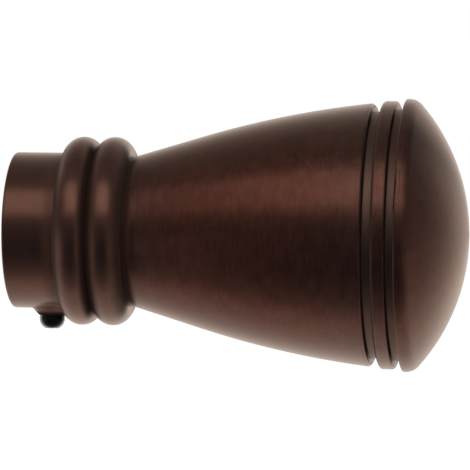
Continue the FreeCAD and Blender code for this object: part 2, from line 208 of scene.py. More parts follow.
# %% [markdown]
# Turning the outline gives a surface of two parameters: how far along the outline, and how far round the
# axis. A Screw modifier could turn it too, but a grid of points can also be raised where the pad is. Both
# ends of the outline lie on the axis, so each closes in a single point. Blender gets whole arrays of
# points and corners, which is quick even for a fine grid.

# %% From a grid of points to a closed mesh
def closed_skin(name, grid):
    """A closed mesh from a grid of points, shaped (rows, columns, 3). Row follows row along the outline
    and columns go once round. The first and last row are one point each, so fans of triangles close
    the ends, and quads join every other row to the next."""
    rows, columns = grid.shape[:2]
    points = np.vstack([grid[0, :1], grid[1:-1].reshape(-1, 3), grid[-1, :1]])
    ring = 1 + np.arange((rows - 2) * columns).reshape(rows - 2, columns)
    next_ring = np.roll(ring, -1, axis=1)
    quads = np.stack([ring[:-1], ring[1:], next_ring[1:], next_ring[:-1]], axis=-1).reshape(-1, 4)
    first_fan = np.stack([np.zeros(columns, int), ring[0], next_ring[0]], axis=-1)
    last_fan = np.stack([ring[-1], np.full(columns, len(points) - 1), next_ring[-1]], axis=-1)
    corners = np.hstack([first_fan.ravel(), quads.ravel(), last_fan.ravel()])
    sides = np.hstack([np.full(columns, 3), np.full(len(quads), 4), np.full(columns, 3)])

    mesh = bpy.data.meshes.new(name)
    mesh.vertices.add(len(points))
    mesh.vertices.foreach_set("co", (points * MM).astype(np.float32).ravel())
    mesh.loops.add(len(corners))
    mesh.loops.foreach_set("vertex_index", corners.astype(np.int32))
    mesh.polygons.add(len(sides))
    mesh.polygons.foreach_set("loop_start", (np.cumsum(sides) - sides).astype(np.int32))
    mesh.update(calc_edges=True)
    piece = bpy.data.objects.new(name, mesh)
    bpy.context.scene.collection.objects.link(piece)
    return piece


def turn_angles(columns, crowded, share):
    """Angles once round the axis, from the crowded side: t - share * sin(t), with t going evenly round.
    There they stand closer by that share, and on the far side as much wider apart."""
    even = np.linspace(0.0, 2 * math.pi, columns, endpoint=False)
    return crowded + even - share * np.sin(even)


FINIAL_COLUMNS = 240
PAD_SIDE = -math.pi / 2
PAD_CROWDING = 0.72
angle = turn_angles(FINIAL_COLUMNS, PAD_SIDE, PAD_CROWDING)
print("columns are %.2f degrees apart at the pad" % math.degrees(angle[1] - angle[0]))

# %% [markdown]
# Below the collar stands a low round pad that gives the set screw more thread to hold. The real pad is
# cast with the body and melts into the collar and the first bead. A second mesh could be joined on, but
# that leaves a hard line all round. So the pad is drawn as a height below the axis, and the skin takes
# whichever is further out, with a soft step between the two.

# %% The finial's skin and its screw pad
SCREW_FROM_MOUTH = 7.2
SCREW_PLACE = SCREW_FROM_MOUTH - SOCKET_DEPTH
PAD_RISE = 1.3
PAD_FLAT = COLLAR_RADIUS + PAD_RISE
PAD_FLAT_RADIUS = 2.25
PAD_ROUND = 0.6
PAD_FALL = 1.05
PAD_BLEND = 0.15
PAD_SIDE_COSINE = 0.5


def pad_height(off_axis):
    """How far the pad reaches below the pole's axis, by distance off the screw's axis: a flat, then a
    circle's fall, round - sqrt(round^2 - overhang^2), then PAD_FALL for each further millimetre."""
    round_end = PAD_ROUND * PAD_FALL / math.hypot(1.0, PAD_FALL)
    overhang = np.clip(off_axis - PAD_FLAT_RADIUS, 0.0, None)
    on_round = np.minimum(overhang, round_end)
    rounded = PAD_ROUND - np.sqrt(PAD_ROUND ** 2 - on_round ** 2)
    return PAD_FLAT - rounded - PAD_FALL * (overhang - on_round)


def soft_highest(one, two, blend):
    """The larger of two heights. Where they differ by less than blend, a parabola eases the step."""
    share = np.clip(0.5 + (one - two) / (2 * blend), 0.0, 1.0)
    return two + share * (one - two) + blend * share * (1 - share)


along, radius = np.broadcast_arrays(outline[:, :1], outline[:, 1:] + 0 * angle)
off_side = angle - PAD_SIDE
off_axis = np.hypot(along - SCREW_PLACE, radius * np.sin(off_side))
facing = np.cos(off_side) > PAD_SIDE_COSINE
outside = np.arange(len(outline))[:, None] > np.argmin(outline[:, 0])
raised = pad_height(off_axis) / np.where(facing, np.cos(off_side), 1.0)
on_pad = facing & outside & (along > mouth + MOUTH_ROUND - TOUCHING) & (along < BEAD_TWO)
radius = np.where(on_pad, soft_highest(radius, raised, PAD_BLEND), radius)
skin = np.stack([along, radius * np.cos(angle), radius * np.sin(angle)], axis=-1)
finial = closed_skin("finial_skin", skin)
print("the finial's skin has", len(finial.data.polygons), "faces")

# %% [markdown]
# The tapped hole goes through the pad into the socket. Gaps could be left in the grid for it, but their
# edges would be ragged. So it is drilled, as in the workshop: a closed cylinder is cut away.

# %% The tapped hole
HOLE_RADIUS = 2.45
HOLE_REACH = (-12.0, -17.0)
SCREW_COLUMNS = 96
SHARP_ANGLE = math.radians(35.0)
around = np.linspace(0.0, 2 * math.pi, SCREW_COLUMNS, endpoint=False)


def turned_about_screw(name, radius, height):
    """Rows of radius and height carried round the screw's axis, which stands along Z through the collar:
    (place + radius cos t, radius sin t, height). A row's radius and height may change with t."""
    grid = np.broadcast_arrays(SCREW_PLACE + radius * np.cos(around), radius * np.sin(around), height)
    return closed_skin(name, np.stack(grid, axis=-1))


def drill(piece, tool):
    """Cuts a closed tool away from a closed piece and removes the tool."""
    modifier = piece.modifiers.new(tool.name, "BOOLEAN")
    modifier.operation = "DIFFERENCE"
    modifier.solver = "EXACT"
    modifier.object = tool
    bpy.context.view_layer.objects.active = piece
    bpy.ops.object.modifier_apply(modifier=modifier.name)
    bpy.data.objects.remove(tool)


def smooth(piece):
    """Shades a piece smooth and keeps its real corners crisp."""
    piece.data.shade_smooth()
    piece.data.set_sharp_from_angle(angle=SHARP_ANGLE)


hole_radius = np.array([0.0, HOLE_RADIUS, HOLE_RADIUS, 0.0])[:, None]
hole_height = np.repeat(HOLE_REACH, 2)[:, None]
drill(finial, turned_about_screw("hole", hole_radius, hole_height))
smooth(finial)
print("with its hole the finial has", len(finial.data.polygons), "faces")

# %% [markdown]
# The set screw is a short headless screw with a rounded drive end and a hexagon recess for a key. The
# recess could be cut out of a cylinder, but one grid stays clean: from the middle of the recess out to its
# six walls, over the rounded end, along the shank and in to the point. Only the recess changes with the
# angle, as a hexagon's radius does.

# %% The set screw
SCREW_RADIUS = 2.4
SCREW_LENGTH = 5.72
SCREW_STANDS_OUT = 2.72
SCREW_END = -(PAD_FLAT + SCREW_STANDS_OUT)
SCREW_END_ROUND = 2.0
POINT_CHAMFER = 0.6
HEX_HALF_FLATS = 1.2
HEX_DEPTH = 2.2
RECESS_FLOOR_SHARES = (0.0, 0.5, 1.0)
RECESS_WALL_SHARE = 0.5
RECESS_EDGE_STEPS = 18


def rounded_end(radius):
    """Height of the rounded end above its outermost plane: none across the flat middle, then a circle's
    fall, round - sqrt(round^2 - overhang^2), as the radius passes the flat."""
    overhang = np.clip(radius - (SCREW_RADIUS - SCREW_END_ROUND), 0.0, SCREW_END_ROUND)
    return SCREW_END_ROUND - np.sqrt(SCREW_END_ROUND ** 2 - overhang ** 2)


def hexagon_radius(angle):
    """Radius of a hexagon with corners at t = 0, 60, 120 ... degrees: half flats / cos(t off a flat)."""
    sixth = math.pi / 3
    return HEX_HALF_FLATS / np.cos(np.mod(angle, sixth) - sixth / 2)


recess = hexagon_radius(around)
floor_radius = np.array(RECESS_FLOOR_SHARES)[:, None] * recess
floor_height = np.full(floor_radius.shape, SCREW_END + HEX_DEPTH)
bend = np.sin(np.linspace(0.0, math.pi / 2, RECESS_EDGE_STEPS + 1))[:, None]
end_radius = recess + bend * (SCREW_RADIUS - recess)
end_height = SCREW_END + rounded_end(end_radius)
wall_height = floor_height[-1:] + RECESS_WALL_SHARE * (end_height[:1] - floor_height[-1:])
shank_top = SCREW_END + SCREW_LENGTH
shank = joined(
    straight((SCREW_RADIUS, SCREW_END + SCREW_END_ROUND), (SCREW_RADIUS, shank_top - POINT_CHAMFER), 6),
    straight((SCREW_RADIUS, shank_top - POINT_CHAMFER), (SCREW_RADIUS - POINT_CHAMFER, shank_top), 2),
    straight((SCREW_RADIUS - POINT_CHAMFER, shank_top), (0.0, shank_top), 3),
)[1:]
all_round = np.ones(SCREW_COLUMNS)
screw_radius = np.vstack([floor_radius, recess[None, :], end_radius, shank[:, :1] * all_round])
screw_height = np.vstack([floor_height, wall_height, end_height, shank[:, 1:] * all_round])
screw = turned_about_screw("set_screw_skin", screw_radius, screw_height)
smooth(screw)
print("the set screw has", len(screw.data.polygons), "faces")

# %% [markdown]
# A finish is drawn by nodes that work out a value for each place on the surface. These tools add the few
# kinds of node that the groups and materials below need: a sum, a distance, a noise and a vector.

# %% Tools for nodes
def value_node(tree, operation, *inputs):
    """Adds a math node. An input is either a number or another node's output."""
    node = tree.nodes.new("ShaderNodeMath")
    node.operation = operation
    for place, item in enumerate(inputs):
        if isinstance(item, (int, float)):
            node.inputs[place].default_value = item
        else:
            tree.links.new(item, node.inputs[place])
    return node.outputs[0]


def distance(tree, one, two):
    """Adds the nodes for sqrt(one^2 + two^2)."""
    one_squared = value_node(tree, "MULTIPLY", one, one)
    two_squared = value_node(tree, "MULTIPLY", two, two)
    return value_node(tree, "SQRT", value_node(tree, "ADD", one_squared, two_squared))


def noise_node(tree, vector, detail):
    """Adds a noise texture that reads a vector as it is, and returns its value from 0 to 1."""
    node = tree.nodes.new("ShaderNodeTexNoise")
    node.inputs["Scale"].default_value = 1.0
    node.inputs["Detail"].default_value = detail
    tree.links.new(vector, node.inputs["Vector"])
    return node.outputs["Fac"]


def vector_node(tree, x, y, z):
    """Joins three values into one vector."""
    node = tree.nodes.new("ShaderNodeCombineXYZ")
    for place, item in enumerate((x, y, z)):
        tree.links.new(item, node.inputs[place])
    return node.outputs[0]


def parts_of(tree, vector):
    """Splits a vector into its three values."""
    node = tree.nodes.new("ShaderNodeSeparateXYZ")
    tree.links.new(vector, node.inputs[0])
    return node.outputs


def new_group(name, inputs, outputs):
    """Starts a shader node group with named sockets and returns it with its two end nodes."""
    group = bpy.data.node_groups.new(name, "ShaderNodeTree")
    for socket, kind in inputs:
        group.interface.new_socket(socket, in_out="INPUT", socket_type=kind)
    for socket, kind in outputs:
        group.interface.new_socket(socket, in_out="OUTPUT", socket_type=kind)
    return group, group.nodes.new("NodeGroupInput"), group.nodes.new("NodeGroupOutput")


print("tools for nodes:", [tool.__name__ for tool in (value_node, distance, noise_node, vector_node)])

# %% [markdown]
# Brushed metal is covered in fine scratches that a belt leaves as the piece spins, so on a turned part
# they run round the axis. A picture of scratches would have to be wrapped round the body and the dome. A
# noise squeezed along the outline and stretched round it gives such streaks anywhere. The group hands out
# plain values, so each material decides what a streak does to it.

# %% The brushed grain
STREAK_DETAIL = 3.0
CLOUD_DETAIL = 2.0


def make_grain_group():
    """Streaks that run round the X axis, and broad clouds. Position along the outline is taken as
    along - radius, which grows on the body and on the dome alike."""
    sockets = [("Place", "NodeSocketVector"), ("Lines", "NodeSocketFloat"), ("Drift", "NodeSocketFloat")]
    results = [("Streak", "NodeSocketFloat"), ("Cloud", "NodeSocketFloat")]
    group, start, end = new_group("brushed_grain", sockets, results)
    along, across, up = parts_of(group, start.outputs["Place"])
    outline_place = value_node(group, "SUBTRACT", along, distance(group, across, up))
    squeezed = value_node(group, "MULTIPLY", outline_place, start.outputs["Lines"])
    drift_along, drift_across, drift_up = [
        value_node(group, "MULTIPLY", side, start.outputs["Drift"]) for side in (along, across, up)
    ]
    streak = noise_node(group, vector_node(group, squeezed, drift_across, drift_up), STREAK_DETAIL)
    group.links.new(streak, end.inputs["Streak"])
    cloud = noise_node(group, vector_node(group, drift_along, drift_across, drift_up), CLOUD_DETAIL)
    group.links.new(cloud, end.inputs["Cloud"])
    return group


grain = make_grain_group()
print("grain group gives:", [item.name for item in grain.interface.items_tree if item.in_out == "OUTPUT"])

# %% [markdown]
# A mask is a share from 0 to 1 that says how much of a finish lies at a place. A hard edge would look
# like tape, so masks are made of soft steps, and a band is two of them back to back.

# %% Tools for masks
def eased_step(tree, value, start, end, height=1.0):
    """Rises softly from 0 at start to height at end, whichever of the two is larger."""
    node = tree.nodes.new("ShaderNodeMapRange")
    node.interpolation_type = "SMOOTHSTEP"
    node.inputs["From Min"].default_value = start
    node.inputs["From Max"].default_value = end
    node.inputs["To Max"].default_value = height
    tree.links.new(value, node.inputs["Value"])
    return node.outputs[0]


def band(tree, value, start, full_from, full_to, end, height=1.0):
    """A soft-sided band: it rises from start to full_from, stays, and falls from full_to to end."""
    rising = eased_step(tree, value, start, full_from, height)
    falling = eased_step(tree, value, end, full_to, height)
    return value_node(tree, "MINIMUM", rising, falling)


def in_millimetres(group, start):
    """A group's Place in millimetres, split into along, across and up."""
    scaled = group.nodes.new("ShaderNodeVectorMath")
    scaled.operation = "SCALE"
    scaled.inputs["Scale"].default_value = 1.0 / MM
    group.links.new(start.outputs["Place"], scaled.inputs[0])
    return parts_of(group, scaled.outputs[0])


print("tools for masks:", [tool.__name__ for tool in (eased_step, band, in_millimetres)])

# %% [markdown]
# Oil-rubbed bronze is rubbed after it is darkened, so some dark skin stays where a cloth cannot reach. The
# same rings also carry painted shade where little light gets in: before and at the foot of the first bead,
# between the beads, at the neck, on the walls and in the corners of the grooves and under the screw pad.
# The dark could be painted on by hand, but then it would not follow the sizes. So each such ring is a soft
# band along the axis, in millimetres, and stays outside the socket. The turned floors of the grooves were
# never polished and stay a dull grey brown.

# %% Where the dark skin and painted shade stay
# Each ring: start, full from, full to, end along the axis in mm, and how dark. Mostly painted shade in the
# hollows, partly dark skin; the first, faint ring dims the collar's highlight before the bead.
SHADE_AND_SKIN_RINGS = (
    (foot - 2.8, foot - 0.6, foot, foot + 0.1, 0.32),
    (foot - 0.05, foot + 0.20, foot + 0.40, foot + 1.8, 0.80),
    (crevice - 1.9, crevice - 0.5, crevice + 0.6, crevice + 2.5, 0.95),
    (heel - 2.4, heel + 0.1, NECK_END + 0.3, NECK_END + 1.7, 0.86),
    (body_end - 0.10, body_end - 0.04, body_end + 0.10, body_end + 0.26, 0.97),
    (land_start - 0.20, land_start - 0.05, land_start + 0.15, land_start + 0.45, 0.85),
    (land_end - 0.04, land_end - 0.01, land_end + 0.10, land_end + 0.26, 0.97),
    (lip_start - 0.16, lip_start - 0.05, lip_start, lip_start + 0.12, 0.60),
)
BORE_EDGE = (SOCKET_RADIUS + 0.1, SOCKET_RADIUS + 0.6)
# Painted shade under the screw pad: how dark, how near the screw and how low it reaches.
PAD_SHADE = 0.95
PAD_SHADE_REACH = (4.0, 2.9)
PAD_SHADE_HEIGHT = (-COLLAR_RADIUS - 0.2, -PAD_FLAT + 0.25)
GROOVE_FLOORS = ((body_end, land_start), (land_end, lip_start))
FLOOR_SOFTNESS = 0.3


def make_recess_group():
    """Shares from 0 to 1: Dark in the rings of painted shade and dark skin, Pad for the painted shade under
    the screw pad, Floor on the floors of the two grooves."""
    results = [("Dark", "NodeSocketFloat"), ("Pad", "NodeSocketFloat"), ("Floor", "NodeSocketFloat")]
    group, start, end = new_group("recesses", [("Place", "NodeSocketVector")], results)
    along, across, up = in_millimetres(group, start)

    dark = band(group, along, *SHADE_AND_SKIN_RINGS[0])
    for ring in SHADE_AND_SKIN_RINGS[1:]:
        dark = value_node(group, "MAXIMUM", dark, band(group, along, *ring))
    outside_bore = eased_step(group, distance(group, across, up), *BORE_EDGE)
    group.links.new(value_node(group, "MULTIPLY", dark, outside_bore), end.inputs["Dark"])

    # Painted shade under the pad, darkest low down beside the screw.
    from_screw = value_node(group, "SUBTRACT", along, SCREW_PLACE)
    near = eased_step(group, distance(group, from_screw, across), *PAD_SHADE_REACH)
    below = eased_step(group, up, *PAD_SHADE_HEIGHT)
    shade = value_node(group, "MULTIPLY", value_node(group, "MULTIPLY", near, below), PAD_SHADE)
    group.links.new(shade, end.inputs["Pad"])

    floors = [band(group, along, low, low + FLOOR_SOFTNESS, high - FLOOR_SOFTNESS, high)
              for low, high in GROOVE_FLOORS]
    group.links.new(value_node(group, "MAXIMUM", *floors), end.inputs["Floor"])
    return group


recesses = make_recess_group()
print("dark rings:", len(SHADE_AND_SKIN_RINGS), "nodes in the group:", len(recesses.nodes))

# %% [markdown]
# This very finial has two small flaws, which belong to it. A jagged dark line runs along the edge of the
# second groove, where the metal tore under the tool, with a shorter, fainter line beside it. A faint light
# scratch crosses the body. They could be cut into the mesh, but they are finer than its faces. So all are
# thin lines in the finish, found as a distance along the axis from a path that changes with height.

# %% The two flaws
TEAR_SPAN = (2.8, 5.2, 9.5, 13.5)
TEAR_PLACE = lip_start - 0.06
TEAR_LEAN = 0.035
TEAR_WANDER = 1.0
TEAR_TEETH = 1.5
TEAR_DETAIL = 3.0
TEAR_WIDTH = (0.34, 0.14)
TEAR_SHARE = 0.95
ECHO_PLACE = TEAR_PLACE + 0.95
ECHO_SPAN = (7.0, 8.0, 11.0, 12.5)
ECHO_WANDER = 0.5
ECHO_WIDTH = (0.12, 0.02)
ECHO_SHARE = 0.5
SCRATCH_START = (35.9, 15.1)
SCRATCH_END = (39.1, 12.0)
SCRATCH_FADE = 0.5
SCRATCH_WIDTH = (0.42, 0.05)
SCRATCH_SHARE = 0.055


def near_path(group, along, path, width, share):
    """Rises from 0 at the outer width to share at the inner one, by the distance along the axis from a
    path."""
    off_path = value_node(group, "ABSOLUTE", value_node(group, "SUBTRACT", along, path))
    return eased_step(group, off_path, *width, share)


def make_flaw_group():
    """Shares from 0 to 1: Tear = near a line that wanders with a noise of the height or near its echo,
    Scratch = near a slanting line. All lie on the side towards the camera."""
    results = [("Tear", "NodeSocketFloat"), ("Scratch", "NodeSocketFloat")]
    group, start, end = new_group("flaws", [("Place", "NodeSocketVector")], results)
    along, across, up = in_millimetres(group, start)
    front = value_node(group, "LESS_THAN", across, 0.0)

    teeth = value_node(group, "MULTIPLY", up, TEAR_TEETH)
    ripple = noise_node(group, vector_node(group, teeth, teeth, teeth), TEAR_DETAIL)
    wander = value_node(group, "MULTIPLY", value_node(group, "SUBTRACT", ripple, 0.5), TEAR_WANDER)
    lean = value_node(group, "MULTIPLY", value_node(group, "SUBTRACT", up, TEAR_SPAN[1]), TEAR_LEAN)
    path = value_node(group, "ADD", value_node(group, "ADD", wander, lean), TEAR_PLACE)
    line = near_path(group, along, path, TEAR_WIDTH, TEAR_SHARE)
    tear = value_node(group, "MULTIPLY", line, band(group, up, *TEAR_SPAN))
    path = value_node(group, "MULTIPLY_ADD", wander, ECHO_WANDER, ECHO_PLACE)
    line = near_path(group, along, path, ECHO_WIDTH, ECHO_SHARE)
    echo = value_node(group, "MULTIPLY", line, band(group, up, *ECHO_SPAN))
    tear = value_node(group, "MULTIPLY", value_node(group, "MAXIMUM", tear, echo), front)
    group.links.new(tear, end.inputs["Tear"])

    slope = (SCRATCH_END[0] - SCRATCH_START[0]) / (SCRATCH_END[1] - SCRATCH_START[1])
    fall = value_node(group, "SUBTRACT", up, SCRATCH_START[1])
    path = value_node(group, "MULTIPLY_ADD", fall, slope, SCRATCH_START[0])
    line = near_path(group, along, path, SCRATCH_WIDTH, SCRATCH_SHARE)
    low, high = SCRATCH_END[1], SCRATCH_START[1]
    span = band(group, up, low - SCRATCH_FADE, low, high, high + SCRATCH_FADE)
    scratch = value_node(group, "MULTIPLY", line, value_node(group, "MULTIPLY", span, front))
    group.links.new(scratch, end.inputs["Scratch"])
    return group


flaws = make_flaw_group()
print("the tear spans %.1f to %.1f mm above the axis" % (TEAR_SPAN[0], TEAR_SPAN[3]))

# %% [markdown]
# The next tools are shared by every material: they start it, place a group in it, map a noise to a useful
# range, mix colours and tell how far a surface is turned away.

# %% Tools for materials
MIX_COLOURS = (6, 7)
MIX_RESULT = 2
BUSY_NOISE = (0.3, 0.7)


def new_material(name):
    """Starts a material and returns it with its tree, its Principled shader and its Object coordinates."""
    material = bpy.data.materials.new(name)
    material.use_nodes = True
    tree = material.node_tree
    shader = tree.nodes["Principled BSDF"]
    place = tree.nodes.new("ShaderNodeTexCoord").outputs["Object"]
    return material, tree, shader, place


def use_group(tree, group, place, **values):
    """Adds a node group that reads a place, sets its other inputs and returns its outputs by name."""
    node = tree.nodes.new("ShaderNodeGroup")
    node.node_tree = group
    tree.links.new(place, node.inputs["Place"])
    for name, value in values.items():
        node.inputs[name].default_value = value
    return node.outputs


def spread(tree, value, low, high):
    """Maps the busy middle of a noise to the range from low to high."""
    node = tree.nodes.new("ShaderNodeMapRange")
    node.inputs["From Min"].default_value, node.inputs["From Max"].default_value = BUSY_NOISE
    node.inputs["To Min"].default_value = low
    node.inputs["To Max"].default_value = high
    tree.links.new(value, node.inputs["Value"])
    return node.outputs[0]


def mixed_colour(tree, share, one, two):
    """Adds a colour mix between two colours. A colour is either plain numbers or another node's output."""
    node = tree.nodes.new("ShaderNodeMix")
    node.data_type = "RGBA"
    tree.links.new(share, node.inputs["Factor"])
    for place, colour in zip(MIX_COLOURS, (one, two)):
        if isinstance(colour, tuple):
            node.inputs[place].default_value = colour
        else:
            tree.links.new(colour, node.inputs[place])
    return node.outputs[MIX_RESULT]


def turned_away(tree, direction=None):
    """0 where the surface faces the viewer, 1 where it is seen edge on. A direction may stand for the
    surface's own."""
    node = tree.nodes.new("ShaderNodeLayerWeight")
    if direction is not None:
        tree.links.new(direction, node.inputs["Normal"])
    return node.outputs["Facing"]


print("each colour mix reads sockets", MIX_COLOURS)

# %% [markdown]
# The recesses are painted dark and without metal: partly the dull wax and oxide of oil-rubbed bronze,
# partly painted shade. A painted sheen, standing in for glancing light, fades it towards the outline of the
# turning, whichever way that is seen. The sheen reads the direction straight out from the axis and not the
# surface's own, so that the walls and the floor of a groove fade together. The painted shade under the pad
# stays as it is.

# %% The bronze's painted shade, dark wax and painted sheen
# How far the surface is turned away where the painted sheen starts and where it is full.
PAINTED_SHEEN_TURN = (0.58, 0.88)
ACROSS_AXIS = (0.0, 1.0, 1.0)

bronze, tree, shader, place = new_material("oil_rubbed_bronze")
recess_values = use_group(tree, recesses, place)
flaw_values = use_group(tree, flaws, place)
across_axis = tree.nodes.new("ShaderNodeVectorMath")
across_axis.operation = "MULTIPLY"
across_axis.inputs[1].default_value = ACROSS_AXIS
tree.links.new(place, across_axis.inputs[0])
outwards = tree.nodes.new("ShaderNodeVectorTransform")
outwards.vector_type = "NORMAL"
outwards.convert_from = "OBJECT"
outwards.convert_to = "WORLD"
tree.links.new(across_axis.outputs[0], outwards.inputs[0])
# A painted sheen: 1 where the turning is seen edge on, which lifts the painted shade there.
painted_sheen = eased_step(tree, turned_away(tree, outwards.outputs[0]), *PAINTED_SHEEN_TURN)
# Painted shade and dark wax from the rings, with the tear's dark line, faded by the painted sheen; then the
# painted shade under the pad.
shade_and_wax = value_node(tree, "MAXIMUM", recess_values["Dark"], flaw_values["Tear"])
shade_and_wax = value_node(tree, "MULTIPLY", shade_and_wax, value_node(tree, "SUBTRACT", 1.0, painted_sheen))
shade_and_wax = value_node(tree, "MAXIMUM", shade_and_wax, recess_values["Pad"])
tree.links.new(value_node(tree, "SUBTRACT", 1.0, shade_and_wax), shader.inputs["Metallic"])
print("the wax is", len(tree.nodes), "nodes")

# %% [markdown]
# The bronze itself has a dark brown skin. One brown all over would look like paint, so streaks and clouds
# make it lighter, the body and the dome are redder, the collar and the beads were buffed most, and a
# painted reflection turns all of it pale where it is seen at a glancing angle.

# %% The bronze's colour
BRONZE_DEEP = (0.065, 0.029, 0.021, 1.0)
BRONZE_WORN = (0.112, 0.050, 0.037, 1.0)
BRONZE_RED_DEEP = (0.069, 0.024, 0.016, 1.0)
BRONZE_RED_WORN = (0.115, 0.038, 0.026, 1.0)
BRONZE_BUFFED = (0.118, 0.057, 0.042, 1.0)
BRONZE_FLOOR = (0.182, 0.106, 0.080, 1.0)
BRONZE_SCRATCH = (0.30, 0.20, 0.16, 1.0)
# A painted reflection: the pale colour taken at a glancing angle.
BRONZE_PAINTED_RIM = (0.385, 0.318, 0.270, 1.0)
# The colour of the painted shade and dark wax.
SHADE_AND_WAX_DARK = (0.014, 0.007, 0.005, 1.0)
RED_BODY = (0.003, 0.014, 0.034, 0.050)
RED_DOME = (0.0555, 0.0585)
RED_SHARE = 0.72
BUFFED_STRETCH = (-0.021, -0.020, 0.0, 0.003)
BUFFED_SHARE = 0.6
GRAIN_LINES = 3000.0
GRAIN_DRIFT = 380.0
STREAK_SHARE = 0.5
PAINTED_RIM_POWER = 3.0

grain_values = use_group(tree, grain, place, Lines=GRAIN_LINES, Drift=GRAIN_DRIFT)
streak, cloud = grain_values["Streak"], grain_values["Cloud"]
streak_part = value_node(tree, "MULTIPLY", streak, STREAK_SHARE)
wear = spread(tree, value_node(tree, "MULTIPLY_ADD", cloud, 1.0 - STREAK_SHARE, streak_part), 0.0, 1.0)
along = parts_of(tree, place)[0]
red_body = band(tree, along, *RED_BODY, RED_SHARE)
red_dome = eased_step(tree, along, *RED_DOME, RED_SHARE)
red = value_node(tree, "MAXIMUM", red_body, red_dome)
buffed = band(tree, along, *BUFFED_STRETCH, BUFFED_SHARE)
# Painted reflection: it pales the colour where the surface is seen edge on.
painted_rim = value_node(tree, "POWER", turned_away(tree), PAINTED_RIM_POWER)

colour = mixed_colour(tree, wear, BRONZE_DEEP, BRONZE_WORN)
red_colour = mixed_colour(tree, wear, BRONZE_RED_DEEP, BRONZE_RED_WORN)
colour = mixed_colour(tree, red, colour, red_colour)
colour = mixed_colour(tree, buffed, colour, BRONZE_BUFFED)
colour = mixed_colour(tree, recess_values["Floor"], colour, BRONZE_FLOOR)
colour = mixed_colour(tree, flaw_values["Scratch"], colour, BRONZE_SCRATCH)
colour = mixed_colour(tree, painted_rim, colour, BRONZE_PAINTED_RIM)
# Last, the painted shade and dark wax, which have no metal.
colour = mixed_colour(tree, shade_and_wax, colour, SHADE_AND_WAX_DARK)
tree.links.new(colour, shader.inputs["Base Color"])
print("with its colour the bronze has", len(tree.nodes), "nodes")

# %% [markdown]
# The metal mirrors the room in its own brown, blurred by the brushing, and the floors of the grooves blur
# it more. The fine scratches all run round the axis, so they smear a mirrored light along it. Modelling
# each scratch would take millions of faces: the shader's anisotropy, set a quarter turn from the direction
# round the axis, does the same, and a very shallow bump lets single streaks glint.

# %% The bronze's gloss
BRONZE_ROUGHNESS = (0.36, 0.40)
FLOOR_ROUGHER = 0.22
BRONZE_EDGE_TINT = (1.0, 0.89, 0.82, 1.0)
BRONZE_ANISOTROPY = 0.7
QUARTER_TURN = 0.25
STREAK_HEIGHT = 0.000002

roughness = spread(tree, streak, *BRONZE_ROUGHNESS)
roughness = value_node(tree, "MULTIPLY_ADD", recess_values["Floor"], FLOOR_ROUGHER, roughness)
tree.links.new(roughness, shader.inputs["Roughness"])
shader.inputs["Specular IOR Level"].default_value = 0.0
shader.inputs["Specular Tint"].default_value = BRONZE_EDGE_TINT
shader.inputs["Anisotropic"].default_value = BRONZE_ANISOTROPY
shader.inputs["Anisotropic Rotation"].default_value = QUARTER_TURN
round_axis = tree.nodes.new("ShaderNodeTangent")
round_axis.direction_type = "RADIAL"
round_axis.axis = "X"
tree.links.new(round_axis.outputs[0], shader.inputs["Tangent"])
bump = tree.nodes.new("ShaderNodeBump")
bump.inputs["Distance"].default_value = STREAK_HEIGHT
tree.links.new(streak, bump.inputs["Height"])
tree.links.new(bump.outputs["Normal"], shader.inputs["Normal"])
finial.data.materials.clear()
finial.data.materials.append(bronze)
print("the whole bronze has", len(tree.nodes), "nodes")

# %% [markdown]
# The screw is steel with a black oxide skin, which is nearly black and has a dull shine. Plain black would
# look like a hole, so a painted reflection turns it pale at a glancing angle where it stands out below the
# pad. Oil and handling leave it uneven, and a soft noise changes its gloss.

# %% The black screw
BLACK_DEEP = (0.0025, 0.002, 0.0015, 1.0)
BLACK_WORN = (0.006, 0.005, 0.004, 1.0)
# A painted reflection on the screw: pale at a glancing angle, only below the pad.
BLACK_PAINTED_RIM = (0.62, 0.58, 0.55, 1.0)
BLACK_PAINTED_RIM_TURN = (0.30, 0.80)
BLACK_BELOW_PAD = ((-PAD_FLAT + 0.5) * MM, -PAD_FLAT * MM)
BLACK_ROUGHNESS = (0.20, 0.30)
BLACK_SHINE = 0.1
BLACK_GRAIN_LINES = 1500.0
BLACK_GRAIN_DRIFT = 700.0

black, tree, shader, place = new_material("black_oxide_steel")
grain_values = use_group(tree, grain, place, Lines=BLACK_GRAIN_LINES, Drift=BLACK_GRAIN_DRIFT)
# 1 where the screw stands out below the pad, which is where the painted reflection goes.
below_pad = eased_step(tree, parts_of(tree, place)[2], *BLACK_BELOW_PAD)
painted_rim = value_node(tree, "MULTIPLY", eased_step(tree, turned_away(tree), *BLACK_PAINTED_RIM_TURN), below_pad)
colour = mixed_colour(tree, spread(tree, grain_values["Cloud"], 0.0, 1.0), BLACK_DEEP, BLACK_WORN)
tree.links.new(mixed_colour(tree, painted_rim, colour, BLACK_PAINTED_RIM), shader.inputs["Base Color"])
tree.links.new(spread(tree, grain_values["Streak"], *BLACK_ROUGHNESS), shader.inputs["Roughness"])
shader.inputs["Specular IOR Level"].default_value = BLACK_SHINE
screw.data.materials.append(black)
print("black steel has", len(tree.nodes), "nodes")

# %% [markdown]
# Each skin stands in for its CAD node and rides on that node's body, so the screw's skin travels with
# the screw and the finial's stays with the pole.

# %% Tie the skins to the frame
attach(finial, "finial")
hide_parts("finial_body")
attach(screw, "screw")
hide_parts("set_screw")
for piece in (finial, screw):
    print(piece.name, "rides with", len(piece.data.vertices), "points")

# %% [markdown]
# Metal looks like what it mirrors, so a product photographer lights the room and not the metal. Here the
# world is white, as a paper backdrop is, and a little weaker where it only lights the floor.

# %% The white room
PAPER_WHITE = (1.0, 1.0, 1.0, 1.0)
WORLD_FILL = 0.7


